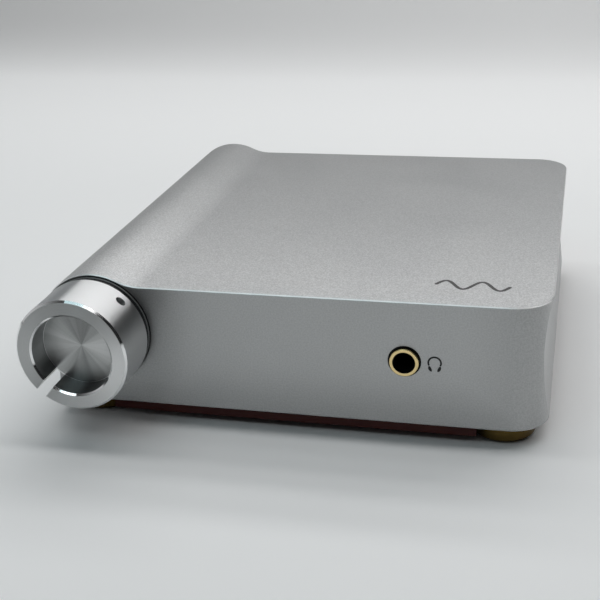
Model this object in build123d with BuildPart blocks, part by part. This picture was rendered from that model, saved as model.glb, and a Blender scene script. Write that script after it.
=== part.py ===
from build123d import *
import math
import os

# Desktop DAC: a low aluminium casing with a raised roll along its left side,
# a large volume knob on the roll's front end and a headphone jack at the
# front right.  +Z up, front face towards -Y, origin on the floor under the
# middle of the whole object.  Millimetres.

# ------------------------------------------------------------ driving sizes
YF = -73.0                  # front face of the casing
DEPTH = 156.5               # casing depth
YB = YF + DEPTH             # rear edge of the casing
XR = 80.0                   # right edge of the casing
XL = -79.0                  # left edge of the base
ZB = 6.0                    # bottom edge of the casing above the floor
ZT = 46.34                  # flat roof
CORNER_R = 12.0             # plan radius of the right-hand corners
EDGE_C = 0.3                # light-catching chamfer on the outer edges

AX, AZ = -61.4, 31.23       # axis of the roll, the knob and the pot
ROLL_R = 18.6               # outer radius of the roll
ROLL_IN = 16.0              # bore of the roll
FILLET_R = 17.0             # hollow fillet between roll and roof
WAIST_R = 20.0              # hollow sweep between roll and base

WALL_F = 3.0                # front wall
RECESS_R, RECESS_D = 18.15, 3.5   # seat of the light ring in the front wall
HUB_WALL_Y = YF + 6.5       # inner face of the wall that carries the pot

KNOB_R = 18.09
KNOB_FRONT = YF - 20.4
KNOB_REAR = YF - 3.1
CUP_R, CUP_D = 12.93, 8.26
SLOT_W, SLOT_ANGLE = 3.5, 229.2  # indicator slot through the rim and skirt
SLOT_D = 15.0               # it lets the ring's light through, so it runs almost to the rear
GRUB_ANGLE, GRUB_Y = 47.0, YF - 7.05
SHAFT_R = 3.0

JACK_X, JACK_Z = 37.11, 27.15
JACK_R = 3.23               # bore for a 6.35 mm plug
JACK_RING_R, JACK_HOLE_R = 4.45, 5.08
JACK_PROUD = 1.25           # front of the gold ring before the casing's front face

FOOT_R, FOOT_X = 9.6, 66.3
FOOT_YF, FOOT_YB = YF + 12.5, YB - 12.5
FOOT_H, PAD_R, PAD_H = 5.4, 7.2, 1.6

TRAY_Z = 2.3                # underside of the base cover's tray
TRAY_IN = 1.5               # tray edge inside the casing outline
COVER_T = 1.5
NOTCH_R = 13.3              # clearance of the tray round each foot

PANEL_Y, PANEL_T = YB - 2.2, 2.0
BOARD_Z, BOARD_T = 17.5, 1.6
BOARD_TOP = BOARD_Z + BOARD_T

RCA_Z = 31.0
RCA_X = [-28.0, -12.0, 10.0, 26.0]   # two pairs of phono jacks
RCA_R, RCA_LEN = 4.15, 10.1
RCA_PIN_R = 1.62            # bore of the centre contact, for a 3.175 mm pin
USB_X, USB_Z = 56.0, 26.6

os.makedirs("parts", exist_ok=True)


def finish(builder, name):
    builder.part.label = name
    export_step(builder.part, "parts/" + name + ".step")


def xz(y):
    """Plane at depth y, local x to the right and local y up, normal -Y."""
    return Plane(origin=(0, y, 0), x_dir=(1, 0, 0), z_dir=(0, -1, 0))


# hollow fillet between roll and roof: centre and tangent points
FC_X = AX + math.sqrt((ROLL_R + FILLET_R) ** 2 - (ZT + FILLET_R - AZ) ** 2)
FC_Z = ZT + FILLET_R
k = ROLL_R / (ROLL_R + FILLET_R)
F_ROLL = (AX + (FC_X - AX) * k, AZ + (FC_Z - AZ) * k)
F_ROOF = (FC_X, ZT)
fm = math.atan2((F_ROLL[1] - FC_Z) + (F_ROOF[1] - FC_Z), (F_ROLL[0] - FC_X) + (F_ROOF[0] - FC_X))
F_MID = (FC_X + FILLET_R * math.cos(fm), FC_Z + FILLET_R * math.sin(fm))

# hollow sweep between roll and base on the left
dx, dz = XL - AX, ZB - AZ
dist = math.hypot(dx, dz)
ca = ((ROLL_R + WAIST_R) ** 2 + dist ** 2 - WAIST_R ** 2) / (2 * (ROLL_R + WAIST_R) * dist)
wa = math.atan2(dz, dx) - math.acos(ca)
WC = (AX + (ROLL_R + WAIST_R) * math.cos(wa), AZ + (ROLL_R + WAIST_R) * math.sin(wa))
W_ROLL = (AX + ROLL_R * math.cos(wa), AZ + ROLL_R * math.sin(wa))
W_BASE = (XL, ZB)
wm = math.atan2((W_ROLL[1] - WC[1]) / 2 + (W_BASE[1] - WC[1]) / 2, (W_ROLL[0] - WC[0]) / 2 + (W_BASE[0] - WC[0]) / 2)
W_MID = (WC[0] + WAIST_R * math.cos(wm), WC[1] + WAIST_R * math.sin(wm))
ra = math.radians(150)
ROLL_MID = (AX + ROLL_R * math.cos(ra), AZ + ROLL_R * math.sin(ra))

# depth of the scoop in the right wall against height below the roof
SCOOP = [(0.0, -0.3), (1.05, -3.2), (1.8, -8.5), (2.2, -14.5), (2.1, -20.0),
         (1.75, -26.0), (1.0, -32.5), (0.0, -40.04)]

boss_xy = [(sx * FOOT_X, y) for sx in (-1, 1) for y in (FOOT_YF, FOOT_YB)]

# inner outline of the casing
IN_R, IN_L, IN_TOP = 75.2, -74.2, 43.74
CAV_YB = YB - 4.5           # rear end of the cavity
WIN_R, WIN_Z = 65.0, 8.0    # right and lower edge of the rear window
EAR_XZ = [(60.0, 39.5), (60.0, 12.5), (-70.5, 22.0), (-40.0, 40.5)]

# ------------------------------------------------------------------- casing
with BuildPart() as top_casing:
    with BuildSketch(xz(YB)):
        with BuildLine():
            Line((XR, ZB), (XR, ZT))
            Line((XR, ZT), F_ROOF)
            ThreePointArc(F_ROOF, F_MID, F_ROLL)
            ThreePointArc(F_ROLL, ROLL_MID, W_ROLL)
            ThreePointArc(W_ROLL, W_MID, W_BASE)
            Line(W_BASE, (XR, ZB))
        make_face()
    extrude(amount=DEPTH)
    # plan corners on the right
    fillet(top_casing.edges().filter_by(Axis.Z).group_by(Axis.X)[-1], radius=CORNER_R)
    # chamfer round the roof, the base and both ends of the roll
    roof = [e for e in top_casing.edges()
            if min(v.Z for v in e.vertices()) > ZT - 0.01 and e.center().Z < ZT + 0.01
            and abs(e.center().X - FC_X) > 0.1]
    base = [e for e in top_casing.edges() if max(v.Z for v in e.vertices()) < ZB + 0.01]
    ends = [e for e in top_casing.edges().filter_by(GeomType.CIRCLE)
            if (abs(e.center().Y - YF) < 0.01 or abs(e.center().Y - YB) < 0.01)
            and e not in roof and e not in base]
    chamfer(roof + base + ends, length=EDGE_C)
    # scooped right wall
    with BuildSketch(xz(YB + 5)):
        with BuildLine():
            Spline(*[(XR - s, ZT + z) for s, z in SCOOP])
            Polyline((XR - SCOOP[-1][0], ZT + SCOOP[-1][1]), (XR + 5, ZT + SCOOP[-1][1]),
                     (XR + 5, ZT + SCOOP[0][1]), (XR - SCOOP[0][0], ZT + SCOOP[0][1]))
        make_face()
    extrude(amount=DEPTH + 10, mode=Mode.SUBTRACT)
    # main cavity, open downwards
    with BuildSketch(Plane.XY.offset(ZB - 1)) as cavity_plan:
        with Locations(((-42.0 + IN_R) / 2, (YF + WALL_F + CAV_YB) / 2)):
            Rectangle(IN_R + 42.0, CAV_YB - YF - WALL_F)
        fillet(cavity_plan.vertices().group_by(Axis.X)[-1], radius=8.0)
    extrude(amount=IN_TOP - ZB + 1, mode=Mode.SUBTRACT)
    # cavity under and in the roll
    with BuildSketch(xz(CAV_YB)):
        with Locations((AX, AZ)):
            Circle(ROLL_IN)
        with Locations(((AX - 41.0) / 2, (4.0 + IN_TOP) / 2)):
            Rectangle(-41.0 - AX, IN_TOP - 4.0)
        with Locations(((IN_L + AX + 1) / 2, (4.0 + AZ) / 2)):
            Rectangle(AX + 1 - IN_L, AZ - 4.0)
    extrude(amount=CAV_YB - HUB_WALL_Y, mode=Mode.SUBTRACT)
    # rear window for the panel
    with BuildSketch(xz(YB + 1)):
        with Locations((AX, AZ)):
            Circle(ROLL_IN)
        with Locations(((AX + WIN_R) / 2, (WIN_Z + IN_TOP) / 2)):
            Rectangle(WIN_R - AX, IN_TOP - WIN_Z)
        with Locations(((IN_L + AX + 1) / 2, (WIN_Z + AZ) / 2)):
            Rectangle(AX + 1 - IN_L, AZ - WIN_Z)
    extrude(amount=6.0, mode=Mode.SUBTRACT)
    # seat of the light ring and hole for the pot's bushing
    with BuildSketch(xz(YF)):
        with Locations((AX, AZ)):
            Circle(RECESS_R)
    extrude(amount=-RECESS_D, mode=Mode.SUBTRACT)
    with BuildSketch(xz(YF)):
        with Locations((AX, AZ)):
            Circle(4.6)
    extrude(amount=-10, mode=Mode.SUBTRACT)
    # headphone jack hole
    with BuildSketch(xz(YF - 1)):
        with Locations((JACK_X, JACK_Z)):
            Circle(JACK_HOLE_R)
    extrude(amount=-6, mode=Mode.SUBTRACT)
    # bosses for the foot screws and ears for the rear panel screws
    with BuildSketch(Plane.XY.offset(ZB + COVER_T)):
        with Locations((67.65, FOOT_YF), (67.65, FOOT_YB)):
            Rectangle(16.7, 13.0)
        with Locations((-67.15, FOOT_YF), (-67.15, FOOT_YB)):
            Rectangle(15.7, 13.0)
    extrude(amount=8.0)
    with BuildSketch(xz(PANEL_Y)):
        with Locations((60.0, 40.0)):
            Rectangle(8.0, 9.0)
        with Locations((64.75, 12.5)):
            Rectangle(17.5, 7.0)
        with Locations((-70.5, 22.0)):
            Rectangle(8.4, 8.0)
        with Locations((-40.0, 40.5)):
            Rectangle(8.0, 8.0)
    extrude(amount=8.0)
    # the base cover's seat: rebate all round the bottom opening
    with BuildSketch(Plane.XY.offset(ZB - 1)) as seat_plan:
        with Locations(((IN_R + IN_L) / 2, (YF + WALL_F + CAV_YB) / 2)):
            Rectangle(IN_R - IN_L, CAV_YB - YF - WALL_F)
        fillet(seat_plan.vertices().group_by(Axis.X)[-1], radius=8.0)
        fillet(seat_plan.vertices().group_by(Axis.X)[0], radius=3.0)
    extrude(amount=1 + COVER_T, mode=Mode.SUBTRACT)
    # screw holes in the bosses and the ears
    with BuildSketch(Plane.XY.offset(ZB)):
        with Locations(*boss_xy):
            Circle(1.5)
    extrude(amount=8.5, mode=Mode.SUBTRACT)
    with BuildSketch(xz(PANEL_Y)):
        with Locations(*EAR_XZ):
            Circle(1.25)
    extrude(amount=7.0, mode=Mode.SUBTRACT)
finish(top_casing, "top_casing")

# --------------------------------------------------------------- base cover
with BuildPart() as base_cover:
    with BuildSketch(Plane.XY.offset(ZB)) as plate_plan:
        with Locations(((IN_R + IN_L) / 2, (YF + WALL_F + CAV_YB) / 2)):
            Rectangle(IN_R - IN_L - 0.3, CAV_YB - YF - WALL_F - 0.3)
        fillet(plate_plan.vertices().group_by(Axis.X)[-1], radius=8.0)
        fillet(plate_plan.vertices().group_by(Axis.X)[0], radius=3.0)
    extrude(amount=COVER_T - 0.05)
    # tray hanging below, cut back round the feet
    with BuildSketch(Plane.XY.offset(TRAY_Z)):
        with Locations((0.5, (YF + YB) / 2)):
            RectangleRounded(157.0 - 2 * TRAY_IN, DEPTH - 2 * TRAY_IN, 2.0)
        with Locations(*boss_xy):
            Circle(NOTCH_R, mode=Mode.SUBTRACT)
        with Locations(*[(sx * (FOOT_X + 13), y) for sx in (-1, 1) for y in (FOOT_YF, FOOT_YB)]):
            Rectangle(26, 2 * NOTCH_R, mode=Mode.SUBTRACT)
        with Locations(*[(sx * (FOOT_X + 6.2), yy) for sx in (-1, 1) for yy in (FOOT_YF - 13, FOOT_YB + 13)]):
            Rectangle(26.4, 26, mode=Mode.SUBTRACT)
    extrude(amount=ZB - TRAY_Z)
    fillet(base_cover.faces().sort_by(Axis.Z)[0].edges(), radius=0.8)
    # hollow of the tray
    with BuildSketch(Plane.XY.offset(TRAY_Z + COVER_T)):
        with Locations((0.5, (YF + YB) / 2)):
            RectangleRounded(102.0, DEPTH - 14.0, 2.0)
    extrude(amount=10, mode=Mode.SUBTRACT)
    with BuildSketch(Plane.XY.offset(TRAY_Z + COVER_T)):
        with Locations((0.5, (YF + YB) / 2)):
            RectangleRounded(146.0, DEPTH - 58.0, 2.0)
    extrude(amount=10, mode=Mode.SUBTRACT)
    # holes for the foot screws
    with BuildSketch(Plane.XY.offset(0)):
        with Locations(*boss_xy):
            Circle(1.6)
    extrude(amount=12, mode=Mode.SUBTRACT)
finish(base_cover, "base_cover")

# --------------------------------------------------------------------- feet
with BuildPart() as feet:
    with BuildSketch(Plane.XY.offset(0.6)):
        with Locations(*boss_xy):
            Circle(FOOT_R)
    extrude(amount=FOOT_H)
    chamfer(feet.edges().filter_by(GeomType.CIRCLE).group_by(Axis.Z)[0], length=0.5)
    with BuildSketch(Plane.XY.offset(0.6)):
        with Locations(*boss_xy):
            Circle(PAD_R)
    extrude(amount=PAD_H - 0.6, mode=Mode.SUBTRACT)
    with BuildSketch(Plane.XY.offset(0.6)):
        with Locations(*boss_xy):
            Circle(1.6)
    extrude(amount=8, mode=Mode.SUBTRACT)
    with BuildSketch(Plane.XY.offset(PAD_H)):
        with Locations(*boss_xy):
            Circle(3.2)
    extrude(amount=2.2, mode=Mode.SUBTRACT)
finish(feet, "feet")

with BuildPart() as foot_pads:
    with BuildSketch(Plane.XY):
        with Locations(*boss_xy):
            Circle(PAD_R - 0.05)
            Circle(3.4, mode=Mode.SUBTRACT)
    extrude(amount=PAD_H)
finish(foot_pads, "foot_pads")

with BuildPart() as foot_screws:
    with BuildSketch(Plane.XY.offset(PAD_H + 0.2)):
        with Locations(*boss_xy):
            Circle(2.75)
    extrude(amount=2.0)
    with BuildSketch(Plane.XY.offset(PAD_H + 0.2)):
        with Locations(*boss_xy):
            Circle(1.48)
    extrude(amount=12.0)
    with BuildSketch(Plane.XY.offset(PAD_H)):
        with Locations(*boss_xy):
            RegularPolygon(radius=1.25, side_count=6)
    extrude(amount=1.4, mode=Mode.SUBTRACT)
finish(foot_screws, "foot_screws")

# --------------------------------------------------------------------- knob
with BuildPart() as volume_knob:
    with BuildSketch(xz(KNOB_REAR)):
        with Locations((AX, AZ)):
            Circle(KNOB_R)
    extrude(amount=KNOB_REAR - KNOB_FRONT)
    chamfer(volume_knob.faces().sort_by(Axis.Y)[0].edges(), length=0.67)
    # cup in the front, with the seat of the spun disc
    with BuildSketch(xz(KNOB_FRONT)):
        with Locations((AX, AZ)):
            Circle(CUP_R)
    extrude(amount=-(CUP_D + 0.8), mode=Mode.SUBTRACT)
    chamfer(volume_knob.edges().filter_by(GeomType.CIRCLE).filter_by(
        lambda e: abs(e.radius - CUP_R) < 0.01).sort_by(Axis.Y)[0], length=0.6)
    # hollow of the skirt round the hub, with the D bore for the shaft
    with BuildSketch(xz(KNOB_REAR)):
        with Locations((AX, AZ)):
            Circle(15.4)
            Circle(7.0, mode=Mode.SUBTRACT)
    extrude(amount=5.4, mode=Mode.SUBTRACT)
    with BuildSketch(xz(KNOB_REAR)):
        with Locations((AX, AZ)):
            Circle(SHAFT_R + 0.02)
    extrude(amount=5.6, mode=Mode.SUBTRACT)
    # radial hole for the grub screw
    ga = math.radians(GRUB_ANGLE)
    gd = (math.cos(ga), 0, math.sin(ga))
    with BuildSketch(Plane(origin=(AX + gd[0] * 14.0, GRUB_Y, AZ + gd[2] * 14.0),
                           x_dir=(0, 1, 0), z_dir=gd)):
        Circle(1.65)
    extrude(amount=8.0, mode=Mode.SUBTRACT)
    with BuildSketch(Plane(origin=(AX + gd[0] * 2.0, GRUB_Y, AZ + gd[2] * 2.0),
                           x_dir=(0, 1, 0), z_dir=gd)):
        Circle(1.25)
    extrude(amount=6.0, mode=Mode.SUBTRACT)
    # indicator slot through the rim at the lower left
    sa = math.radians(SLOT_ANGLE)
    with BuildSketch(xz(KNOB_FRONT - 1)):
        with Locations(Location((AX + 16.2 * math.cos(sa), AZ + 16.2 * math.sin(sa)), SLOT_ANGLE)):
            Rectangle(7.0, SLOT_W)
    extrude(amount=-(SLOT_D + 1), mode=Mode.SUBTRACT)
    lips = [e for e in volume_knob.edges().filter_by(GeomType.LINE)
            if abs(e.center().Y - KNOB_FRONT) < 0.01 and abs(e.length - (KNOB_R - CUP_R)) < 2.5]
    chamfer(lips, length=0.3)
finish(volume_knob, "volume_knob")

with BuildPart() as knob_disc:
    with BuildSketch(xz(KNOB_FRONT + CUP_D + 0.8)):
        with Locations((AX, AZ)):
            Circle(CUP_R - 0.02)
    extrude(amount=0.8)
    chamfer(knob_disc.faces().sort_by(Axis.Y)[0].edges(), length=0.12)
finish(knob_disc, "knob_disc")

with BuildPart() as knob_grub_screw:
    with BuildSketch(Plane(origin=(AX + gd[0] * 3.05, GRUB_Y, AZ + gd[2] * 3.05),
                           x_dir=(0, 1, 0), z_dir=gd)):
        Circle(1.23)
    extrude(amount=3.6)
    with BuildSketch(Plane(origin=(AX + gd[0] * 5.2, GRUB_Y, AZ + gd[2] * 5.2),
                           x_dir=(0, 1, 0), z_dir=gd)):
        RegularPolygon(radius=0.8, side_count=6)
    extrude(amount=2.0, mode=Mode.SUBTRACT)
finish(knob_grub_screw, "knob_grub_screw")

# --------------------------------------------------- light ring and its LEDs
with BuildPart() as light_ring:
    with BuildSketch(xz(YF + 2.2)):
        with Locations((AX, AZ)):
            Circle(17.7)
            Circle(9.0, mode=Mode.SUBTRACT)
    extrude(amount=2.6)
    chamfer(light_ring.faces().sort_by(Axis.Y)[0].edges().sort_by(SortBy.LENGTH)[-1], length=0.25)
    with BuildSketch(xz(YF - 0.4)):
        with Locations((AX, AZ)):
            Circle(17.3)
            Circle(9.0, mode=Mode.SUBTRACT)
    extrude(amount=2.3)
finish(light_ring, "light_ring")

with BuildPart() as ring_board:
    with BuildSketch(xz(YF + 3.45)):
        with Locations((AX, AZ)):
            Circle(17.5)
            Circle(9.0, mode=Mode.SUBTRACT)
    extrude(amount=0.6)
finish(ring_board, "ring_board")

with BuildPart() as ring_leds:
    with BuildSketch(xz(YF + 2.8)):
        with Locations((AX, AZ)):
            with PolarLocations(13.5, 6, start_angle=30):
                Rectangle(2.0, 1.2)
    extrude(amount=0.55)
finish(ring_leds, "ring_leds")

# --------------------------------------------------------------- volume pot
with BuildPart() as pot_housing:
    with BuildSketch(xz(HUB_WALL_Y + 11.0)):
        with Locations((AX, AZ)):
            Circle(8.4)
    extrude(amount=10.95)
    with BuildSketch(xz(HUB_WALL_Y + 9.5)):
        with Locations((AX, AZ)):
            Circle(7.4)
    extrude(amount=8.0, mode=Mode.SUBTRACT)
    with BuildSketch(xz(HUB_WALL_Y + 3.0)):
        with Locations((AX, AZ)):
            Circle(3.3)
    extrude(amount=4.0, mode=Mode.SUBTRACT)
    # terminals downwards
    with BuildSketch(Plane.XY.offset(AZ - 12.0)):
        with Locations((AX - 4, HUB_WALL_Y + 10.2), (AX, HUB_WALL_Y + 10.2), (AX + 4, HUB_WALL_Y + 10.2)):
            Rectangle(1.2, 0.8)
    extrude(amount=5.0)
finish(pot_housing, "pot_housing")

with BuildPart() as pot_bushing:
    with BuildSketch(xz(HUB_WALL_Y - 0.0)):
        with Locations((AX, AZ)):
            Circle(4.5)
            Circle(SHAFT_R + 0.05, mode=Mode.SUBTRACT)
    extrude(amount=7.0)
finish(pot_bushing, "pot_bushing")

with BuildPart() as pot_nut:
    with BuildSketch(xz(YF + RECESS_D)):
        with Locations((AX, AZ)):
            RegularPolygon(radius=6.9, side_count=6)
            Circle(4.52, mode=Mode.SUBTRACT)
    extrude(amount=2.0)
finish(pot_nut, "pot_nut")

with BuildPart() as pot_shaft:
    with BuildSketch(xz(HUB_WALL_Y + 6.6)):
        with Locations((AX, AZ)):
            Circle(SHAFT_R)
    extrude(amount=HUB_WALL_Y + 6.6 - (KNOB_REAR - 5.5))
finish(pot_shaft, "pot_shaft")

with BuildPart() as pot_wiper:
    with BuildSketch(xz(HUB_WALL_Y + 8.0)):
        with Locations((AX, AZ)):
            Circle(6.8)
        with Locations((AX + 5.5, AZ)):
            Rectangle(1.5, 4.0, mode=Mode.SUBTRACT)
    extrude(amount=1.4)
finish(pot_wiper, "pot_wiper")

with BuildPart() as pot_track:
    with BuildSketch(xz(HUB_WALL_Y + 9.5)):
        with Locations((AX, AZ)):
            Circle(7.35)
            Circle(2.0, mode=Mode.SUBTRACT)
    extrude(amount=1.2)
finish(pot_track, "pot_track")

# ----------------------------------------------------------- headphone jack
with BuildPart() as jack_collar:
    # black nose with a flange in the panel hole
    with BuildSketch(xz(YF + 3.0)):
        with Locations((JACK_X, JACK_Z)):
            Circle(JACK_HOLE_R - 0.02)
            Circle(JACK_R, mode=Mode.SUBTRACT)
    extrude(amount=2.6)
    with BuildSketch(xz(YF + 3.0)):
        with Locations((JACK_X, JACK_Z)):
            Circle(JACK_RING_R + 0.2)
            Circle(JACK_R, mode=Mode.SUBTRACT)
    extrude(amount=3.15)
finish(jack_collar, "jack_collar")

with BuildPart() as jack_bush:
    with BuildSketch(xz(YF - 0.16)):
        with Locations((JACK_X, JACK_Z)):
            Circle(JACK_RING_R)
            Circle(JACK_R, mode=Mode.SUBTRACT)
    extrude(amount=JACK_PROUD - 0.16)
    chamfer(jack_bush.faces().sort_by(Axis.Y)[0].edges(), length=0.15)
finish(jack_bush, "jack_bush")

with BuildPart() as jack_body:
    with BuildSketch(xz(YF + 32.0)):
        with Locations((JACK_X, JACK_Z)):
            Rectangle(16.0, 16.0)
            Circle(JACK_R + 0.6, mode=Mode.SUBTRACT)
    extrude(amount=28.95)
    with BuildSketch(xz(YF + 33.5)):
        with Locations((JACK_X, JACK_Z)):
            Rectangle(16.0, 16.0)
    extrude(amount=1.5)
    # windows for the contact springs
    with BuildSketch(Plane.XY.offset(JACK_Z)):
        with Locations((JACK_X, YF + 12), (JACK_X, YF + 20), (JACK_X, YF + 28)):
            Rectangle(3.0, 5.0)
    extrude(amount=10, mode=Mode.SUBTRACT)
finish(jack_body, "jack_body")

with BuildPart() as jack_contact_springs:
    for yy in (12, 20, 28):
        with BuildSketch(Plane.XY.offset(JACK_Z + JACK_R + 0.15)):
            with Locations((JACK_X, YF + yy)):
                Rectangle(2.0, 4.0)
        extrude(amount=0.4)
        with BuildSketch(Plane.XY.offset(JACK_Z + JACK_R + 0.15)):
            with Locations((JACK_X, YF + yy + 1.8)):
                Rectangle(2.0, 0.4)
        extrude(amount=5.0)
finish(jack_contact_springs, "jack_contact_springs")

# ------------------------------------------------------------------- board
standoff_xy = [(-30.0, -44.0), (20.0, -58.0), (-30.0, 60.0), (64.0, 46.0)]
with BuildPart() as main_board:
    with BuildSketch(Plane.XY.offset(BOARD_Z)):
        with Locations(((-37.0 + 70.0) / 2, (YF + 5.0 + PANEL_Y - 3.0) / 2)):
            Rectangle(70.0 + 37.0, PANEL_Y - 3.0 - YF - 5.0)
        with Locations(*standoff_xy):
            Circle(1.6, mode=Mode.SUBTRACT)
    extrude(amount=BOARD_T)
finish(main_board, "main_board")

with BuildPart() as board_standoffs:
    with BuildSketch(Plane.XY.offset(TRAY_Z + COVER_T + 0.02)):
        with Locations(*standoff_xy):
            RegularPolygon(radius=3.2, side_count=6)
            Circle(1.5, mode=Mode.SUBTRACT)
    extrude(amount=BOARD_Z - TRAY_Z - COVER_T - 0.04)
finish(board_standoffs, "board_standoffs")

with BuildPart() as board_screws:
    with BuildSketch(Plane.XY.offset(BOARD_TOP + 0.02)):
        with Locations(*standoff_xy):
            Circle(2.75)
    extrude(amount=2.0)
    with BuildSketch(Plane.XY.offset(BOARD_Z - 5.0)):
        with Locations(*standoff_xy):
            Circle(1.46)
    extrude(amount=BOARD_T + 5.5)
finish(board_screws, "board_screws")

with BuildPart() as board_chips:
    with BuildSketch(Plane.XY.offset(BOARD_TOP)):
        with Locations((38.0, 30.0)):
            Rectangle(20, 20)
        with Locations((5.0, 22.0)):
            Rectangle(12, 12)
        with Locations((-20.0, 24.0)):
            Rectangle(10, 7)
        with Locations((30.0, -18.0), (44.0, -18.0)):
            Rectangle(5, 6)
    extrude(amount=1.4)
finish(board_chips, "board_chips")

with BuildPart() as electrolytic_capacitors:
    with BuildSketch(Plane.XY.offset(BOARD_TOP)):
        with Locations((-22, -30), (-8, -30), (6, -30), (-22, -12), (-8, -12)):
            Circle(5.0)
    extrude(amount=12.5)
    with BuildSketch(Plane.XY.offset(BOARD_TOP)):
        with Locations((60, -10), (60, 2), (60, 14)):
            Circle(4.0)
    extrude(amount=11.5)
finish(electrolytic_capacitors, "electrolytic_capacitors")

with BuildPart() as film_capacitors:
    with BuildSketch(Plane.XY.offset(BOARD_TOP)):
        with Locations((-24, 42), (-8, 42), (12, 42), (26, 50)):
            Rectangle(7.2, 2.5)
    extrude(amount=6.5)
finish(film_capacitors, "film_capacitors")

with BuildPart() as muting_relays:
    with BuildSketch(Plane.XY.offset(BOARD_TOP)):
        with Locations((24, -42), (8, 6)):
            Rectangle(7.0, 14.0)
    extrude(amount=8.0)
finish(muting_relays, "muting_relays")

with BuildPart() as clock_oscillators:
    with BuildSketch(Plane.XY.offset(BOARD_TOP)):
        with Locations((20, 12), (30, 12)):
            Rectangle(5.0, 7.0)
    extrude(amount=1.8)
finish(clock_oscillators, "clock_oscillators")

with BuildPart() as voltage_regulators:
    with BuildSketch(Plane.XY.offset(BOARD_TOP)):
        with Locations((50, -40), (62, -40)):
            Rectangle(6.5, 7.0)
    extrude(amount=2.3)
finish(voltage_regulators, "voltage_regulators")

# flat cable from the pot to its header on the board
with BuildPart() as harness_header:
    with BuildSketch(Plane.XY.offset(BOARD_TOP)):
        with Locations((-33.0, -56.3)):
            Rectangle(5.0, 10.0)
    extrude(amount=6.0)
finish(harness_header, "harness_header")

with BuildPart() as pot_harness:
    hz = BOARD_TOP + 6.0 + 0.05
    with BuildSketch(xz(-52.3)):
        with BuildLine():
            FilletPolyline((-33.0, hz + 0.5), (-33.0, hz + 6.0), (-51.8, hz + 6.0), (-51.8, AZ - 12.6),
                           (AX - 5.0, AZ - 12.6), radius=2.0)
            offset(amount=0.45, side=Side.BOTH)
        make_face()
    extrude(amount=8.0)
finish(pot_harness, "pot_harness")

# --------------------------------------------------------------- rear panel
with BuildPart() as rear_panel:
    with BuildSketch(xz(PANEL_Y + PANEL_T)):
        with Locations((AX, AZ)):
            Circle(ROLL_IN - 0.1)
        with Locations(((AX + WIN_R) / 2, (WIN_Z + IN_TOP) / 2)):
            Rectangle(WIN_R - AX - 0.2, IN_TOP - WIN_Z - 0.2)
        with Locations(((IN_L + AX + 1) / 2, (WIN_Z + AZ) / 2)):
            Rectangle(AX + 1 - IN_L - 0.2, AZ - WIN_Z - 0.2)
    extrude(amount=PANEL_T - 0.02)
    with BuildSketch(xz(PANEL_Y + PANEL_T + 1)):
        with Locations(*[(x, RCA_Z) for x in RCA_X]):
            Circle(4.6)
        with Locations((USB_X, USB_Z)):
            Rectangle(12.4, 11.4)
        with Locations(*EAR_XZ):
            Circle(1.45)
    extrude(amount=5, mode=Mode.SUBTRACT)
finish(rear_panel, "rear_panel")

with BuildPart() as rear_panel_screws:
    with BuildSketch(xz(PANEL_Y + PANEL_T + 1.3)):
        with Locations(*EAR_XZ):
            Circle(2.4)
            RegularPolygon(radius=1.0, side_count=6, mode=Mode.SUBTRACT)
    extrude(amount=0.9)
    with BuildSketch(xz(PANEL_Y + PANEL_T + 0.4)):
        with Locations(*EAR_XZ):
            Circle(2.4)
    extrude(amount=0.4)
    with BuildSketch(xz(PANEL_Y + PANEL_T)):
        with Locations(*EAR_XZ):
            Circle(1.23)
    extrude(amount=8.0)
finish(rear_panel_screws, "rear_panel_screws")

# ------------------------------------------------------------- phono jacks
SOCKET_Y = PANEL_Y + PANEL_T            # outer face of the rear panel
with BuildPart() as phono_blocks:
    for x0 in ((RCA_X[0] + RCA_X[1]) / 2, (RCA_X[2] + RCA_X[3]) / 2):
        with BuildSketch(xz(PANEL_Y - 0.02)):
            with Locations((x0, (BOARD_TOP + 0.02 + RCA_Z + 6.0) / 2)):
                Rectangle(27.0, RCA_Z + 6.0 - BOARD_TOP - 0.02)
        extrude(amount=11.0)
    with BuildSketch(xz(PANEL_Y - 3.0)):
        with Locations(*[(x, RCA_Z) for x in RCA_X]):
            Circle(RCA_R + 0.02)
    extrude(amount=-4, mode=Mode.SUBTRACT)
finish(phono_blocks, "phono_blocks")

with BuildPart() as phono_shells:
    with BuildSketch(xz(SOCKET_Y + RCA_LEN)):
        with Locations(*[(x, RCA_Z) for x in RCA_X]):
            Circle(RCA_R)
            Circle(RCA_R - 0.6, mode=Mode.SUBTRACT)
    extrude(amount=RCA_LEN + PANEL_T + 2.9)
    with BuildSketch(xz(SOCKET_Y + 0.62)):
        with Locations(*[(x, RCA_Z) for x in RCA_X]):
            Circle(6.2)
            Circle(RCA_R, mode=Mode.SUBTRACT)
    extrude(amount=0.6)
finish(phono_shells, "phono_shells")


def insulators(name, xs):
    with BuildPart() as ins:
        with BuildSketch(xz(SOCKET_Y + RCA_LEN - 0.7)):
            with Locations(*[(x, RCA_Z) for x in xs]):
                Circle(RCA_R - 0.62)
                Circle(RCA_PIN_R + 0.25, mode=Mode.SUBTRACT)
        extrude(amount=RCA_LEN + PANEL_T + 2.1)
    finish(ins, name)
    return ins


white_insulators = insulators("white_insulators", [RCA_X[0], RCA_X[2]])
red_insulators = insulators("red_insulators", [RCA_X[1], RCA_X[3]])

with BuildPart() as phono_contacts:
    with BuildSketch(xz(SOCKET_Y + RCA_LEN - 1.2)):
        with Locations(*[(x, RCA_Z) for x in RCA_X]):
            Circle(RCA_PIN_R + 0.23)
            Circle(RCA_PIN_R, mode=Mode.SUBTRACT)
    extrude(amount=RCA_LEN + PANEL_T + 1.6)
finish(phono_contacts, "phono_contacts")

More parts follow.
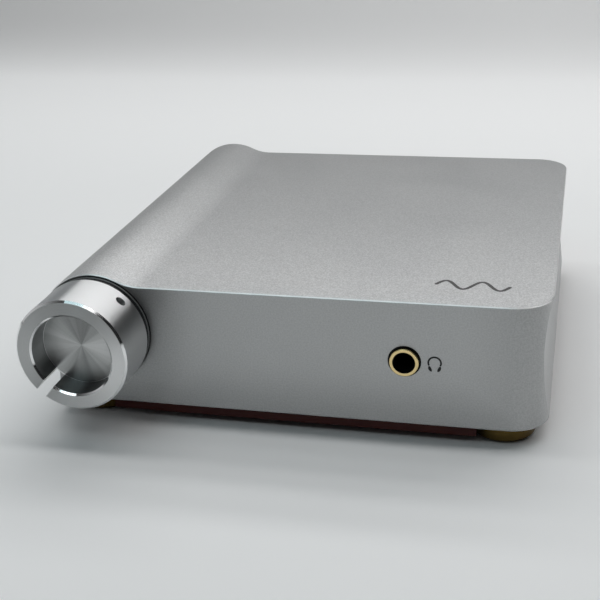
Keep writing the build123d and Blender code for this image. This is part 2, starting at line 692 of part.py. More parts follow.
# --------------------------------------------------------------- USB socket
with BuildPart() as usb_shell:
    with BuildSketch(xz(SOCKET_Y + 0.6)):
        with Locations((USB_X, USB_Z)):
            Rectangle(12.0, 11.0)
    extrude(amount=16.0)
    with BuildSketch(xz(SOCKET_Y + 0.6)) as usb_mouth:
        with Locations((USB_X, USB_Z)):
            Rectangle(8.6, 8.0)
        chamfer(usb_mouth.vertices().group_by(Axis.Z)[-1], length=1.6)
    extrude(amount=12.0, mode=Mode.SUBTRACT)
finish(usb_shell, "usb_shell")

with BuildPart() as usb_tongue:
    with BuildSketch(xz(SOCKET_Y - 0.8)):
        with Locations((USB_X, USB_Z - 0.3)):
            Rectangle(5.6, 3.2)
    extrude(amount=10.6)
finish(usb_tongue, "usb_tongue")
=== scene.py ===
import math

import bmesh
import bpy
from mathutils import Matrix, Vector


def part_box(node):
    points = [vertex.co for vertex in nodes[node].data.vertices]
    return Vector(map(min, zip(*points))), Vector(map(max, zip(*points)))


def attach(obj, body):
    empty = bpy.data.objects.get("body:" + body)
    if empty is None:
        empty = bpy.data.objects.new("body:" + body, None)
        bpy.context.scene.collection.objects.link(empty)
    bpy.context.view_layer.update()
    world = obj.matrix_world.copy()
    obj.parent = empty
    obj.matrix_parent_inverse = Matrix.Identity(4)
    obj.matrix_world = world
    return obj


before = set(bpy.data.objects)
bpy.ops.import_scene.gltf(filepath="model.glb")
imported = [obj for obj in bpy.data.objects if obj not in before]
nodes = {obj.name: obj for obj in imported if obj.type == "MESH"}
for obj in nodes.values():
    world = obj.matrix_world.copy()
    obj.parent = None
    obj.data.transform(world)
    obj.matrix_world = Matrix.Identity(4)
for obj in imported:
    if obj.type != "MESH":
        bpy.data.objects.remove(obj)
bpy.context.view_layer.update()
MM = 0.001

scene = bpy.context.scene
scene.view_settings.view_transform = "Standard"
scene.view_settings.look = "None"
scene.view_settings.exposure = 0.0
scene.view_settings.gamma = 1.0


# ------------------------------------------------------------------ camera
def make_camera():
    yaw, pitch, roll = (math.radians(a) for a in (14.6583, -22.7446, -2.5322))
    fwd = Vector((-math.sin(yaw) * math.cos(pitch), math.cos(yaw) * math.cos(pitch), math.sin(pitch)))
    right = Vector((math.cos(yaw), math.sin(yaw), 0.0))
    up = right.cross(fwd)
    r = right * math.cos(roll) + up * math.sin(roll)
    u = -right * math.sin(roll) + up * math.cos(roll)
    data = bpy.data.cameras.new("camera")
    data.lens = 67.586
    data.sensor_width = 36.0
    data.clip_start, data.clip_end = 0.01, 50.0
    cam = bpy.data.objects.new("camera", data)
    cam.matrix_world = Matrix(((r.x, u.x, -fwd.x, 0.084471),
                               (r.y, u.y, -fwd.y, -0.374135),
                               (r.z, u.z, -fwd.z, 0.175705),
                               (0, 0, 0, 1)))
    scene.collection.objects.link(cam)
    scene.camera = cam


make_camera()


# ------------------------------------------------------------ node helpers
class Nodes:
    """A material's node tree with short calls."""

    def __init__(self, name):
        self.mat = bpy.data.materials.new(name)
        self.mat.use_nodes = True
        self.t = self.mat.node_tree
        self.t.nodes.clear()
        self.out = self.t.nodes.new("ShaderNodeOutputMaterial")
        self.b = self.t.nodes.new("ShaderNodeBsdfPrincipled")
        self.link(self.b.outputs["BSDF"], self.out.inputs["Surface"])
        self.coord = self.t.nodes.new("ShaderNodeTexCoord").outputs["Object"]

    def link(self, a, b):
        self.t.links.new(a, b)

    def put(self, socket, value):
        if hasattr(value, "is_output"):
            self.link(value, socket)
        elif isinstance(value, (tuple, list)) and len(value) == 3 and socket.type == "RGBA":
            socket.default_value = (*value, 1.0)
        else:
            socket.default_value = value

    def set(self, **kw):
        for k, v in kw.items():
            self.put(self.b.inputs[k.replace("_", " ")], v)
        return self

    def noise(self, scale, detail=2.0, rough=0.5, vector=None, stretch=None):
        """Noise with `scale` features per millimetre."""
        n = self.t.nodes.new("ShaderNodeTexNoise")
        n.inputs["Scale"].default_value = 1.0
        n.inputs["Detail"].default_value = detail
        n.inputs["Roughness"].default_value = rough
        m = self.t.nodes.new("ShaderNodeMapping")
        s = scale * 1000.0
        st = stretch or (1, 1, 1)
        m.inputs["Scale"].default_value = (s * st[0], s * st[1], s * st[2])
        self.link(vector or self.coord, m.inputs["Vector"])
        self.link(m.outputs["Vector"], n.inputs["Vector"])
        return n.outputs["Fac"]

    def range(self, value, a, b, lo, hi, smooth=False):
        n = self.t.nodes.new("ShaderNodeMapRange")
        n.clamp = True
        if smooth:
            n.interpolation_type = "SMOOTHSTEP"
        self.link(value, n.inputs["Value"])
        for k, v in (("From Min", a), ("From Max", b), ("To Min", lo), ("To Max", hi)):
            n.inputs[k].default_value = v
        return n.outputs["Result"]

    def math(self, op, a, b=None, c=None):
        n = self.t.nodes.new("ShaderNodeMath")
        n.operation = op
        for i, v in enumerate((a, b, c)):
            if v is not None:
                self.put(n.inputs[i], v)
        return n.outputs[0]

    def mix(self, fac, a, b):
        n = self.t.nodes.new("ShaderNodeMix")
        n.data_type = "RGBA"
        self.put(n.inputs["Factor"], fac)
        self.put([s for s in n.inputs if s.name == "A" and s.type == "RGBA"][0], a)
        self.put([s for s in n.inputs if s.name == "B" and s.type == "RGBA"][0], b)
        return [s for s in n.outputs if s.type == "RGBA"][0]

    def bump(self, height, distance, strength=1.0, normal=None):
        n = self.t.nodes.new("ShaderNodeBump")
        n.inputs["Strength"].default_value = strength
        n.inputs["Distance"].default_value = distance
        self.link(height, n.inputs["Height"])
        if normal is not None:
            self.link(normal, n.inputs["Normal"])
        return n.outputs["Normal"]

    def xyz(self):
        n = self.t.nodes.new("ShaderNodeSeparateXYZ")
        self.link(self.coord, n.inputs[0])
        return n.outputs

    def radial(self, cx, cz):
        """Distance from the line x=cx, z=cz (metres) that runs along Y, in metres, and the position along Y."""
        x, y, z = self.xyz()
        dx = self.math("SUBTRACT", x, cx)
        dz = self.math("SUBTRACT", z, cz)
        d2 = self.math("ADD", self.math("MULTIPLY", dx, dx), self.math("MULTIPLY", dz, dz))
        return self.math("SQRT", d2), y

    def normal(self):
        """The normal in the object's own axes, split into x, y and z."""
        g = self.t.nodes.new("ShaderNodeTexCoord")
        n = self.t.nodes.new("ShaderNodeSeparateXYZ")
        self.link(g.outputs["Normal"], n.inputs[0])
        return n.outputs

    def band(self, value, lo, hi, soft):
        """1 between lo and hi, 0 outside."""
        return self.math("MULTIPLY", self.range(value, lo - soft, lo, 0.0, 1.0), self.range(value, hi, hi + soft, 1.0, 0.0))

    def tangent_y(self):
        n = self.t.nodes.new("ShaderNodeTangent")
        n.direction_type = "RADIAL"
        n.axis = "Y"
        return n.outputs["Tangent"]


KX, KZ = -61.4 * MM, 31.23 * MM        # axis of the roll and knob
JX, JZ = 37.11 * MM, 27.15 * MM        # axis of the headphone jack


# --------------------------------------------------------------- materials
ALU = 0.52                             # brightness of the blasted casing
ALU_ROUGH = 0.45
# very dark red: the lacquer's red, darkened further as painted shade for the shade under the casing
RED = (0.050, 0.006, 0.004)
FLOOR = 0.90
SIDE_ROUGH = 0.33
RIM_ROUGH = 0.40
DISC_ROUGH = 0.31
SWEEP = 60.0                           # how far the paper curves up behind, in degrees


def blasted_aluminium():
    n = Nodes("blasted_aluminium")
    cloud = n.noise(0.035, 3.0, 0.55)
    grain = n.noise(2.0, 2.0, 0.75)
    speck = n.noise(1.0, 1.0, 0.5)
    x, y, z = n.xyz()
    nx, ny, nz = n.normal()
    up = n.range(nz, 0.3, 0.9, 0.45, 1.0)          # upright faces are blasted finer
    a = ALU
    base = n.mix(n.range(cloud, 0.3, 0.7, 0.0, 1.0), (0.970 * a, 0.985 * a, 0.990 * a), (1.015 * a, 1.025 * a, 1.025 * a))
    # painted light and shade: the roof is painted darker towards the back and lighter towards the front
    painted_roof_shade = n.math("MULTIPLY", n.range(y, -0.065, 0.075, 0.0, 0.13), n.range(nz, 0.3, 0.9, 0.0, 1.0))
    base = n.mix(painted_roof_shade, base, (0.0, 0.0, 0.0))
    painted_roof_highlight = n.math("MULTIPLY", n.range(y, 0.0, -0.06, 0.0, 0.07), n.range(nz, 0.8, 0.99, 0.0, 1.0))
    base = n.mix(painted_roof_highlight, base, (1.0, 1.0, 1.0))
    # painted shade: the front wall is painted a little darker towards its foot and its ends
    shade = n.math("MAXIMUM", n.range(z, 0.024, 0.0065, 0.0, 0.17, smooth=True), n.range(x, 0.052, 0.079, 0.0, 0.19, smooth=True))
    shade = n.math("MAXIMUM", shade, n.range(x, -0.026, -0.045, 0.0, 0.20, smooth=True))
    base = n.mix(n.math("MULTIPLY", shade, n.range(ny, -0.3, -0.7, 0.0, 1.0)), base, (0.0, 0.0, 0.0))
    up = n.math("MULTIPLY", up, n.range(y, 0.07, -0.06, 0.75, 1.55))
    dark = n.mix(n.math("MULTIPLY", up, 0.12), base, (0.0, 0.0, 0.0))
    lite = n.mix(n.math("MULTIPLY", up, 0.15), base, (1.0, 1.0, 1.0))
    base = n.mix(n.range(grain, 0.36, 0.64, 0.0, 1.0), dark, lite)
    rough = n.math("ADD", n.range(grain, 0.3, 0.7, ALU_ROUGH - 0.05, ALU_ROUGH + 0.05), n.range(cloud, 0.3, 0.7, -0.015, 0.015))
    # the chamfers round the roof, the base and the front are cut after blasting
    slope = n.band(n.math("ABSOLUTE", nz), 0.5, 0.86, 0.02)
    roof = n.math("MULTIPLY", n.range(z, 0.04603, 0.04605, 0.0, 1.0), n.range(x, -0.0460, -0.0459, 0.0, 1.0))
    level = n.math("MAXIMUM", n.range(z, 0.00632, 0.00630, 0.0, 1.0), roof)
    front = n.math("MULTIPLY", n.range(y, -0.07269, -0.07271, 0.0, 1.0), n.range(ny, -0.92, -0.90, 0.0, 1.0))
    front = n.math("MULTIPLY", front, n.range(ny, -0.32, -0.30, 1.0, 0.0))
    cut = n.math("MAXIMUM", n.math("MULTIPLY", slope, level), front)
    base = n.mix(cut, base, (0.88, 0.885, 0.885))
    rough = n.math("MULTIPLY", rough, n.range(cut, 0.0, 1.0, 1.0, 0.8))
    h = n.math("ADD", n.math("MULTIPLY", grain, 0.8), n.math("MULTIPLY", speck, 0.4))
    n.set(Base_Color=base, Metallic=1.0, Roughness=rough, Normal=n.bump(h, 0.00006, 1.0))
    return n.mat


def turned_aluminium():
    """The knob: turned all over, with a dull brushed rim, bright cut chamfers and a polished slot."""
    n = Nodes("turned_aluminium")
    r, y = n.radial(KX, KZ)
    # fine turning marks follow the radius on the rim and the length on the side
    flat = n.range(y, -0.09330, -0.09335, 0.0, 1.0)
    along = n.t.nodes.new("ShaderNodeCombineXYZ")
    n.link(n.math("MULTIPLY", r, flat), along.inputs[0])
    n.link(n.math("MULTIPLY", y, n.math("SUBTRACT", 1.0, flat)), along.inputs[1])
    line = n.noise(7.0, 2.0, 0.6, vector=along.outputs[0])
    wide = n.noise(1.1, 1.0, 0.5, vector=along.outputs[0])
    base = n.mix(n.range(line, 0.35, 0.65, 0.0, 1.0), (0.67, 0.675, 0.68), (0.72, 0.725, 0.725))
    rough = n.math("ADD", n.range(line, 0.3, 0.7, SIDE_ROUGH - 0.02, SIDE_ROUGH + 0.02), n.range(wide, 0.3, 0.7, -0.01, 0.01))
    # the rim's flat face is duller
    rim = n.math("MULTIPLY", n.range(y, -0.09335, -0.09338, 0.0, 1.0), n.range(r, 0.0175, 0.01745, 0.0, 1.0))
    base = n.mix(rim, base, n.mix(n.range(line, 0.3, 0.7, 0.0, 1.0), (0.43, 0.44, 0.44), (0.60, 0.61, 0.61)))
    rough = n.math("ADD", rough, n.math("MULTIPLY", rim, RIM_ROUGH - SIDE_ROUGH))
    # the wall of the cup lies in its own shade
    wall = n.math("MULTIPLY", n.range(r, 0.01310, 0.01300, 0.0, 1.0), n.range(y, -0.0929, -0.0928, 0.0, 1.0))
    base = n.mix(wall, base, n.mix(n.range(line, 0.3, 0.7, 0.0, 1.0), (0.26, 0.27, 0.27), (0.40, 0.41, 0.41)))
    # the chamfers are cut bright
    edge_out = n.math("MULTIPLY", n.range(r, 0.01744, 0.01747, 0.0, 1.0), n.range(y, -0.0927, -0.09275, 0.0, 1.0))
    edge_in = n.math("MULTIPLY", n.range(r, 0.01350, 0.01347, 0.0, 1.0), n.range(y, -0.09278, -0.09285, 0.0, 1.0))
    cut = n.math("MAXIMUM", edge_out, edge_in)
    base = n.mix(cut, base, (0.86, 0.865, 0.865))
    rough = n.math("MULTIPLY", rough, n.range(cut, 0.0, 1.0, 1.0, 0.25))
    x, yy, z = n.xyz()
    nx, ny, nz = n.normal()
    dx, dz = n.math("DIVIDE", n.math("SUBTRACT", x, KX), r), n.math("DIVIDE", n.math("SUBTRACT", z, KZ), r)
    # painted light and shade: the rim's face is painted a little brighter on one side and darker on the other
    painted_rim_light = n.math("ADD", n.math("MULTIPLY", dx, 0.78), n.math("MULTIPLY", dz, -0.62))
    base = n.mix(n.math("MULTIPLY", rim, n.range(painted_rim_light, 0.0, -1.0, 0.0, 0.13)), base, (0.0, 0.0, 0.0))
    base = n.mix(n.math("MULTIPLY", rim, n.range(painted_rim_light, 0.0, 1.0, 0.0, 0.42)), base, (1.0, 1.0, 1.0))
    # the slot's walls are milled bright, and painted shade darkens the inside of the grub screw's bore
    across = n.math("ABSOLUTE", n.math("ADD", n.math("MULTIPLY", nx, dx), n.math("MULTIPLY", nz, dz)))
    wall_face = n.math("MULTIPLY", n.range(across, 0.55, 0.50, 0.0, 1.0), n.range(n.math("ABSOLUTE", ny), 0.5, 0.45, 0.0, 1.0))

    def towards(angle):
        a = math.radians(angle)
        d = n.math("ADD", n.math("MULTIPLY", dx, math.cos(a)), n.math("MULTIPLY", dz, math.sin(a)))
        return n.range(d, 0.90, 0.92, 0.0, 1.0)

    slot = n.math("MULTIPLY", wall_face, towards(229.2))
    painted_grub_hole_shade = n.math("MULTIPLY", wall_face, towards(47.0))
    base = n.mix(slot, base, (0.95, 0.955, 0.955))
    base = n.mix(painted_grub_hole_shade, base, (0.02, 0.02, 0.02))
    h = n.math("ADD", line, n.math("MULTIPLY", wide, 0.3))
    n.set(Base_Color=base, Metallic=1.0, Roughness=rough, Anisotropic=0.90, Anisotropic_Rotation=0.25,
          Tangent=n.tangent_y(), Normal=n.bump(h, 0.0000015, 0.2))
    return n.mat


def spun_aluminium():
    n = Nodes("spun_aluminium")
    r, y = n.radial(KX, KZ)
    comb = n.t.nodes.new("ShaderNodeCombineXYZ")
    n.link(r, comb.inputs[0])
    line = n.noise(9.0, 3.0, 0.7, vector=comb.outputs[0])
    base = n.mix(n.range(line, 0.3, 0.7, 0.0, 1.0), (0.30, 0.31, 0.31), (0.52, 0.53, 0.525))
    rough = n.range(line, 0.3, 0.7, DISC_ROUGH - 0.04, DISC_ROUGH + 0.04)
    x, yy, z = n.xyz()
    dx, dz = n.math("DIVIDE", n.math("SUBTRACT", x, KX), r), n.math("DIVIDE", n.math("SUBTRACT", z, KZ), r)
    polar = n.t.nodes.new("ShaderNodeCombineXYZ")
    n.link(dx, polar.inputs[0]); n.link(dz, polar.inputs[1])
    streak = n.noise(0.0022, 2.0, 0.5, vector=polar.outputs[0])
    # painted highlight and shade: the disc is painted lighter and darker in sectors, like the light fanned out by the
    # spin marks
    painted_fan_highlight = n.math("MULTIPLY", n.math("SUBTRACT", n.math("MULTIPLY", dx, dx), n.math("MULTIPLY", dz, dz)), 0.26)
    painted_fan_highlight = n.math("SUBTRACT", painted_fan_highlight, n.math("MULTIPLY", dz, 0.12))
    base = n.mix(n.range(painted_fan_highlight, 0.02, -0.40, 0.0, 0.42), base, (0.0, 0.0, 0.0))
    base = n.mix(n.range(painted_fan_highlight, 0.0, 0.40, 0.0, 0.28), base, (1.0, 1.0, 1.0))
    base = n.mix(n.range(streak, 0.45, 0.70, 0.0, 0.16, smooth=True), base, (0.0, 0.0, 0.0))
    base = n.mix(n.range(streak, 0.55, 0.30, 0.0, 0.14, smooth=True), base, (1.0, 1.0, 1.0))
    edge = n.range(r, 0.01262, 0.01266, 0.0, 1.0)
    base = n.mix(edge, base, (0.95, 0.95, 0.95))
    n.set(Base_Color=base, Metallic=1.0, Roughness=rough, Anisotropic=0.92, Anisotropic_Rotation=0.25,
          Tangent=n.tangent_y(), Normal=n.bump(line, 0.000004, 0.3))
    return n.mat


def smoked_ring():
    """The light ring: smoked plastic whose outer edge is painted lighter as a painted highlight."""
    n = Nodes("smoked_plastic")
    r, y = n.radial(KX, KZ)
    cloud = n.noise(0.3, 2.0, 0.5)
    fine = n.noise(4.0, 2.0, 0.5)
    edge = n.math("MULTIPLY", n.range(r, 0.01738, 0.01742, 0.0, 1.0), n.range(y, -0.0730, -0.0731, 0.0, 1.0))
    base = n.mix(n.range(cloud, 0.3, 0.7, 0.0, 1.0), (0.014, 0.015, 0.016), (0.020, 0.021, 0.022))
    # painted highlight: the ring's outer edge is painted lighter
    base = n.mix(edge, base, (0.20, 0.205, 0.205))
    n.set(Base_Color=base, Roughness=n.range(fine, 0.3, 0.7, 0.24, 0.34), Normal=n.bump(fine, 0.00001, 0.12))
    return n.mat


def painted(name, colour, rough=0.38, peel=0.25, metallic=0.0, coat=0.0, vary=0.10, level=0.5):
    n = Nodes(name)
    cloud = n.noise(0.08, 2.0, 0.5)
    fine = n.noise(2.2, 2.0, 0.6)
    dark = tuple(c * (1 - vary) for c in colour)
    lite = tuple(min(1.0, c * (1 + vary)) for c in colour)
    base = n.mix(n.range(cloud, 0.3, 0.7, 0.0, 1.0), dark, lite)
    n.set(Base_Color=base, Metallic=metallic, Roughness=n.range(fine, 0.3, 0.7, rough - 0.05, rough + 0.05),
          Normal=n.bump(fine, 0.00002, peel))
    n.b.inputs["Coat Weight"].default_value = coat
    n.b.inputs["Specular IOR Level"].default_value = level
    return n.mat


def textured_black(name="textured_black", colour=(0.022, 0.022, 0.024)):
    n = Nodes(name)
    fine = n.noise(3.5, 3.0, 0.65)
    blob = n.noise(1.4, 2.0, 0.5)
    base = n.mix(n.range(fine, 0.35, 0.65, 0.0, 1.0), colour, tuple(c * 1.7 for c in colour))
    h = n.math("ADD", fine, blob)
    n.set(Base_Color=base, Roughness=n.range(fine, 0.3, 0.7, 0.42, 0.58), Normal=n.bump(h, 0.00006, 0.6))
    return n.mat


def moulded(name, colour, rough=0.5, vary=0.08, grain=0.25):
    n = Nodes(name)
    cloud = n.noise(0.3, 2.0, 0.5)
    fine = n.noise(4.0, 2.0, 0.5)
    dark = tuple(c * (1 - vary) for c in colour)
    lite = tuple(min(1.0, c * (1 + vary)) for c in colour)
    n.set(Base_Color=n.mix(n.range(cloud, 0.3, 0.7, 0.0, 1.0), dark, lite),
          Roughness=n.range(fine, 0.3, 0.7, rough - 0.06, rough + 0.06), Normal=n.bump(fine, 0.00001, grain))
    return n.mat


def metal(name, colour, rough=0.25, vary=0.06, grain=0.2, scale=3.0, stretch=None):
    n = Nodes(name)
    fine = n.noise(scale, 2.0, 0.55, stretch=stretch)
    cloud = n.noise(0.15, 2.0, 0.5)
    dark = tuple(c * (1 - vary) for c in colour)
    lite = tuple(min(1.0, c * (1 + vary)) for c in colour)
    n.set(Base_Color=n.mix(n.range(cloud, 0.3, 0.7, 0.0, 1.0), dark, lite), Metallic=1.0,
          Roughness=n.range(fine, 0.3, 0.7, rough - 0.05, rough + 0.05), Normal=n.bump(fine, 0.000006, grain))
    return n.mat


def turned_metal(name, colour, rough, pitch=6.0, vertical=False):
    """Metal with fine turning lines, along Y or (vertical) along Z."""
    n = Nodes(name)
    st = (0.02, 0.02, 1.0) if vertical else (0.02, 1.0, 0.02)
    line = n.noise(pitch, 2.0, 0.6, stretch=st)
    cloud = n.noise(0.2, 3.0, 0.6)
    dark = tuple(c * 0.86 for c in colour)
    base = n.mix(n.range(line, 0.3, 0.7, 0.0, 1.0), dark, colour)
    base = n.mix(n.range(cloud, 0.5, 0.75, 0.0, 0.35), base, tuple(c * 0.62 for c in colour))
    n.set(Base_Color=base, Metallic=1.0, Roughness=n.range(cloud, 0.3, 0.7, rough - 0.04, rough + 0.07),
          Normal=n.bump(line, 0.000008, 0.3))
    return n.mat


def jack_gold():
    """The gold ring round the jack, painted black round the mouth of its bore as painted shade."""
    n = Nodes("jack_gold")
    r, y = n.radial(JX, JZ)
    comb = n.t.nodes.new("ShaderNodeCombineXYZ")
    n.link(r, comb.inputs[0])
    line = n.noise(7.0, 2.0, 0.6, vector=comb.outputs[0])
    base = n.mix(n.range(line, 0.3, 0.7, 0.0, 1.0), (0.79, 0.62, 0.31), (0.89, 0.71, 0.37))
    # painted shade: the ring is painted black round the mouth of its bore
    sleeve = n.range(r, 0.00350, 0.00346, 0.0, 1.0)
    base = n.mix(sleeve, base, (0.006, 0.006, 0.006))
    n.set(Base_Color=base, Metallic=1.0, Roughness=n.range(line, 0.3, 0.7, 0.20, 0.28), Normal=n.bump(line, 0.000004, 0.2))
    return n.mat


def jack_black():
    n = Nodes("jack_black")
    fine = n.noise(4.0, 2.0, 0.5)
    n.set(Base_Color=n.mix(n.range(fine, 0.3, 0.7, 0.0, 1.0), (0.0035, 0.0035, 0.0038), (0.006, 0.006, 0.0063)),
          Roughness=n.range(fine, 0.3, 0.7, 0.46, 0.56), Normal=n.bump(fine, 0.00001, 0.15))
    n.b.inputs["Specular IOR Level"].default_value = 0.15
    return n.mat


M = {
    "casing": blasted_aluminium(),
    "jack_gold": jack_gold(),
    "jack_black": jack_black(),
    "turned": turned_aluminium(),
    "spun": spun_aluminium(),
    "red": painted("red_lacquer", RED, 0.45, 0.2, level=0.22),
    # the feet's brass is darkened, partly as painted shade for the shade under the casing
    "brass_foot": turned_metal("brass_foot", (0.135, 0.090, 0.028), 0.34, vertical=True),
    "rubber": moulded("rubber_pad", (0.015, 0.015, 0.015), 0.78, 0.15, 0.6),
    "black_screw": metal("black_oxide", (0.055, 0.055, 0.06), 0.38, 0.15),
    "grub": metal("grub_black", (0.010, 0.010, 0.011), 0.45, 0.15),
    "smoked": smoked_ring(),
    "board": moulded("solder_mask", (0.010, 0.045, 0.022), 0.42, 0.2, 0.4),
    "led": moulded("led_lens", (0.82, 0.82, 0.76), 0.35, 0.05, 0.1),
    "steel": metal("pressed_steel", (0.60, 0.60, 0.61), 0.30, 0.05, 0.25, 2.0),
    "nickel": turned_metal("satin_nickel", (0.70, 0.68, 0.63), 0.24),
    "black": moulded("black_plastic", (0.012, 0.012, 0.013), 0.55, 0.15, 0.3),
    "gold": turned_metal("gold_plate", (0.95, 0.74, 0.36), 0.22),
    "chip": moulded("chip_epoxy", (0.028, 0.028, 0.03), 0.6, 0.1, 0.4),
    "sleeve": moulded("capacitor_sleeve", (0.02, 0.035, 0.10), 0.3, 0.1, 0.1),
    "film": moulded("film_dip", (0.50, 0.05, 0.035), 0.3, 0.1, 0.1),
    "relay": moulded("relay_body", (0.75, 0.73, 0.66), 0.5, 0.04, 0.2),
    "header": moulded("header_plastic", (0.74, 0.71, 0.64), 0.45, 0.04, 0.2),
    "cable": moulded("ribbon_cable", (0.42, 0.42, 0.43), 0.5, 0.06, 0.2),
    "panel": textured_black(),
    "white": moulded("white_insulator", (0.80, 0.80, 0.78), 0.30, 0.03, 0.1),
    "red_plastic": moulded("red_insulator", (0.58, 0.022, 0.022), 0.30, 0.06, 0.1),
    "ink": moulded("black_ink", (0.007, 0.007, 0.0075), 0.6, 0.1, 0.1),
    "grey_ink": moulded("grey_ink", (0.045, 0.043, 0.042), 0.5, 0.1, 0.2),
}

NODE_MATERIAL = {
    "top_casing": "casing", "base_cover": "red", "feet": "brass_foot", "foot_pads": "rubber",
    "foot_screws": "black_screw", "volume_knob": "turned", "knob_disc": "spun", "knob_grub_screw": "grub",
    "light_ring": "smoked", "ring_board": "board", "ring_leds": "led", "pot_housing": "steel",
    "pot_bushing": "nickel", "pot_nut": "nickel", "pot_shaft": "nickel", "pot_wiper": "black", "pot_track": "black",
    "jack_collar": "jack_black", "jack_bush": "jack_gold", "jack_body": "jack_black", "jack_contact_springs": "nickel",
    "main_board": "board", "board_standoffs": "nickel", "board_screws": "black_screw", "board_chips": "chip",
    "electrolytic_capacitors": "sleeve", "film_capacitors": "film", "muting_relays": "relay",
    "clock_oscillators": "steel", "voltage_regulators": "chip", "harness_header": "header", "pot_harness": "cable",
    "rear_panel": "panel", "rear_panel_screws": "black_screw", "phono_blocks": "black", "phono_shells": "gold",
    "white_insulators": "white", "red_insulators": "red_plastic", "phono_contacts": "gold", "usb_shell": "steel",
    "usb_tongue": "header",
}
for name, key in NODE_MATERIAL.items():
    o = nodes[name]
    o.data.materials.clear()
    o.data.materials.append(M[key])


# ------------------------------------------------------------ mesh helpers
def new_object(name, bm, material, body, smooth=None):
    me = bpy.data.meshes.new(name)
    bmesh.ops.recalc_face_normals(bm, faces=bm.faces)
    bm.to_mesh(me)
    bm.free()
    if smooth:
        for p in me.polygons:
            p.use_smooth = True
        me.set_sharp_from_angle(angle=math.radians(smooth))
    o = bpy.data.objects.new(name, me)
    scene.collection.objects.link(o)
    me.materials.append(material)
    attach(o, body)
    return o


def add_prism(bm, outline, place, t):
    """A closed plate of thickness t over a flat outline. place(u, v, w) gives a point w above the surface."""
    lo = [bm.verts.new(place(u, v, 0.0)) for u, v in outline]
    hi = [bm.verts.new(place(u, v, t)) for u, v in outline]
    bm.faces.new(lo)
    bm.faces.new(hi)
    n = len(outline)
    for i in range(n):
        j = (i + 1) % n
        bm.faces.new((lo[i], lo[j], hi[j], hi[i]))


def stroke(points, width, cap=8):
    """Outline of a round-ended stroke along points."""
    pts = [Vector(p) for p in points]
    left, right_ = [], []
    n = len(pts)
    for i, p in enumerate(pts):
        d = (pts[min(i + 1, n - 1)] - pts[max(i - 1, 0)]).normalized()
        q = Vector((-d.y, d.x)) * width / 2
        left.append(p + q)
        right_.append(p - q)
    def end(c, d):
        a0 = math.atan2(d.y, d.x) + math.pi / 2
        return [c + Vector((math.cos(a0 - math.pi * k / cap), math.sin(a0 - math.pi * k / cap))) * width / 2
                for k in range(1, cap)]
    d1 = (pts[-1] - pts[-2]).normalized()
    d0 = (pts[0] - pts[1]).normalized()
    return [tuple(v) for v in left + end(pts[-1], d1) + right_[::-1] + end(pts[0], d0)]


# --------------------------------------------- print on the front: headphones
FACE_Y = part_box("top_casing")[0].y


def on_front(u, v, w):
    return Vector((u * MM, FACE_Y - w - 0.000002, v * MM))


def headphone_symbol():
    bm = bmesh.new()
    cx, cz, r = 46.2, 27.25, 1.90
    a0, a1 = math.radians(-22), math.radians(202)
    arc = [(cx + r * math.cos(a0 + (a1 - a0) * i / 48), cz + r * math.sin(a0 + (a1 - a0) * i / 48)) for i in range(49)]
    add_prism(bm, stroke(arc, 0.56), on_front, 0.00002)
    for s in (-1, 1):
        # an ear cup that tapers inwards and down
        cup = []
        c = Vector((cx + s * 1.28, cz - 1.95))
        tilt = math.radians(24 * s)
        for k in range(28):
            a = 2 * math.pi * k / 28
            x, y = 0.60 * math.cos(a), 0.98 * math.sin(a)
            if x * s < 0:
                x *= 0.55
            cup.append((c.x + x * math.cos(tilt) - y * math.sin(tilt) * -1, c.y + y * math.cos(tilt) + x * math.sin(tilt) * -1))
        add_prism(bm, cup, on_front, 0.00002)
    return new_object("headphone_symbol", bm, M["ink"], "housing")


headphone_symbol()


# ------------------------------------------- print on the roof: a plain wave
ROOF_Z = 46.34 * MM


def on_roof(u, v, w):
    return Vector((u * MM, v * MM, ROOF_Z + w + 0.000002))


def wave_mark():
    bm = bmesh.new()
    cx, cy = 55.6, -57.4
    pts = [(cx - 11.0 + 22.0 * i / 96, cy + 3.1 * math.sin(2 * math.pi * 2 * i / 96)) for i in range(97)]
    add_prism(bm, stroke(pts, 1.15), on_roof, 0.00002)
    return new_object("wave_mark", bm, M["grey_ink"], "housing")


wave_mark()


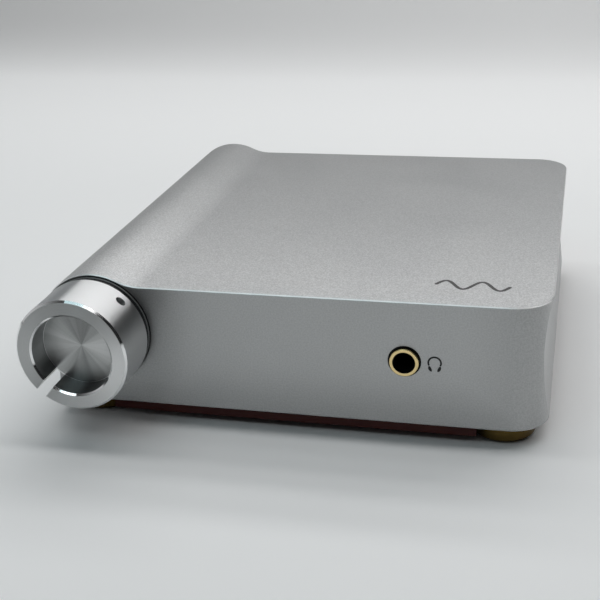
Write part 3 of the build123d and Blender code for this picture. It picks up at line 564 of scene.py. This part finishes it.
# ----------------------------------------------------- floor and backdrop
def make_floor():
    bm = bmesh.new()
    prof = [(-3.0, 0.0), (-1.0, 0.0), (0.0, 0.0), (0.3, 0.0), (0.45, 0.0)]
    y0, r = 0.45, 0.30
    for i in range(1, 17):
        a = math.radians(SWEEP) * i / 16
        prof.append((y0 + r * math.sin(a), r - r * math.cos(a)))
    xs = [-3.0 + 6.0 * i / 24 for i in range(25)]
    grid = [[bm.verts.new((x, y, z)) for x in xs] for y, z in prof]
    for a, b in zip(grid, grid[1:]):
        for i in range(24):
            bm.faces.new((a[i], a[i + 1], b[i + 1], b[i]))
    me = bpy.data.meshes.new("floor")
    bm.to_mesh(me)
    bm.free()
    for p in me.polygons:
        p.use_smooth = True
    o = bpy.data.objects.new("floor", me)
    scene.collection.objects.link(o)
    n = Nodes("paper_floor")
    cloud = n.noise(0.004, 3.0, 0.5)
    fine = n.noise(0.9, 3.0, 0.6)
    base = n.mix(n.range(cloud, 0.3, 0.7, 0.0, 1.0), (FLOOR * 0.98, FLOOR * 0.985, FLOOR * 0.985), (FLOOR, FLOOR * 1.005, FLOOR * 1.005))
    x, y, z = n.xyz()
    # painted light: the paper is painted lighter towards the back
    base = n.mix(n.range(y, 0.10, 0.36, 0.0, 0.75, smooth=True), base, (0.995, 0.995, 0.995))
    # painted shade: the paper is painted grey where it curves up, more on the left
    painted_sweep_shade = n.math("MULTIPLY", n.range(y, 0.43, 0.58, 0.0, 1.0, smooth=True), n.range(x, -0.45, 0.05, 0.72, 0.42))
    base = n.mix(painted_sweep_shade, base, (0.5, 0.5, 0.5))
    n.set(Base_Color=base, Roughness=0.75, Normal=n.bump(fine, 0.00003, 0.15))
    n.b.inputs["Specular IOR Level"].default_value = 0.3
    me.materials.append(n.mat)


make_floor()


# ------------------------------------------------------------------ lights
STRIPS = [(1, 3.20), (12, 0.50), (24, 1.05), (33, 1.70), (45, 2.20)]
LEFT_BOX = 0.22
FRONT_BOX = 0.58
FRONT_STRIP = 0.34
# soft glows of the room: direction, narrowness, strength
GLOWS = [((0.0, 1.0, 0.8), 8.0, 0.12), ((0.1, 1.0, 0.25), 20.0, 0.38), ((-1.0, 0.0, 0.2), 5.0, 0.46), ((-0.56, 0.8, 0.12), 14.0, 0.24)]
ROOM = 0.02
COOL = (0.74, 1.0, 1.06)                # colour of the fill from the left and the front


def area(name, pos, target, sx, sy, watts, colour=(1, 1, 1)):
    d = bpy.data.lights.new(name, "AREA")
    d.shape = "RECTANGLE"
    d.size, d.size_y = sx, sy
    d.energy = watts
    d.color = colour
    o = bpy.data.objects.new(name, d)
    scene.collection.objects.link(o)
    z = (Vector(pos) - Vector(target)).normalized()
    x = Vector((1, 0, 0))
    y = z.cross(x).normalized()
    x = y.cross(z).normalized()
    o.matrix_world = Matrix(((x.x, y.x, z.x, pos[0]), (x.y, y.y, z.y, pos[1]), (x.z, y.z, z.z, pos[2]), (0, 0, 0, 1)))
    return o


# strip lights across the top, from overhead to low behind the paper's edge
for i, (angle, watts) in enumerate(STRIPS):
    a = math.radians(angle)
    area("strip_%d" % i, (0.1, -0.03 + 0.95 * math.sin(a), 0.02 + 0.95 * math.cos(a)), (0, -0.02, 0.02), 1.6, 0.10, watts)
area("left_box", (-0.705, 0.0705, 0.705), (0, -0.02, 0.02), 0.5, 0.5, LEFT_BOX, COOL)
area("front_strip", (0.05, -0.50, 0.68), (0, -0.05, 0.02), 1.0, 0.06, FRONT_STRIP)
area("front_box", (-0.199, -0.478, 0.856), (0, -0.02, 0.02), 0.5, 0.5, FRONT_BOX, COOL)

world = bpy.data.worlds.new("room")
scene.world = world
world.use_nodes = True
wt = world.node_tree
wt.nodes.clear()
w_out = wt.nodes.new("ShaderNodeOutputWorld")
w_bg = wt.nodes.new("ShaderNodeBackground")
w_bg.inputs["Color"].default_value = (0.97, 0.985, 1.0, 1.0)
w_tc = wt.nodes.new("ShaderNodeTexCoord")
w_sum = None
for direction, power, strength in GLOWS:
    dot = wt.nodes.new("ShaderNodeVectorMath")
    dot.operation = "DOT_PRODUCT"
    wt.links.new(w_tc.outputs["Generated"], dot.inputs[0])
    dot.inputs[1].default_value = Vector(direction).normalized()
    pos = wt.nodes.new("ShaderNodeMath")
    pos.operation = "MAXIMUM"
    wt.links.new(dot.outputs["Value"], pos.inputs[0])
    pos.inputs[1].default_value = 0.0
    lobe = wt.nodes.new("ShaderNodeMath")
    lobe.operation = "POWER"
    wt.links.new(pos.outputs[0], lobe.inputs[0])
    lobe.inputs[1].default_value = power
    add = wt.nodes.new("ShaderNodeMath")
    add.operation = "MULTIPLY_ADD"
    wt.links.new(lobe.outputs[0], add.inputs[0])
    add.inputs[1].default_value = strength
    if w_sum is None:
        add.inputs[2].default_value = ROOM
    else:
        wt.links.new(w_sum, add.inputs[2])
    w_sum = add.outputs[0]
wt.links.new(w_sum, w_bg.inputs["Strength"])
wt.links.new(w_bg.outputs[0], w_out.inputs[0])
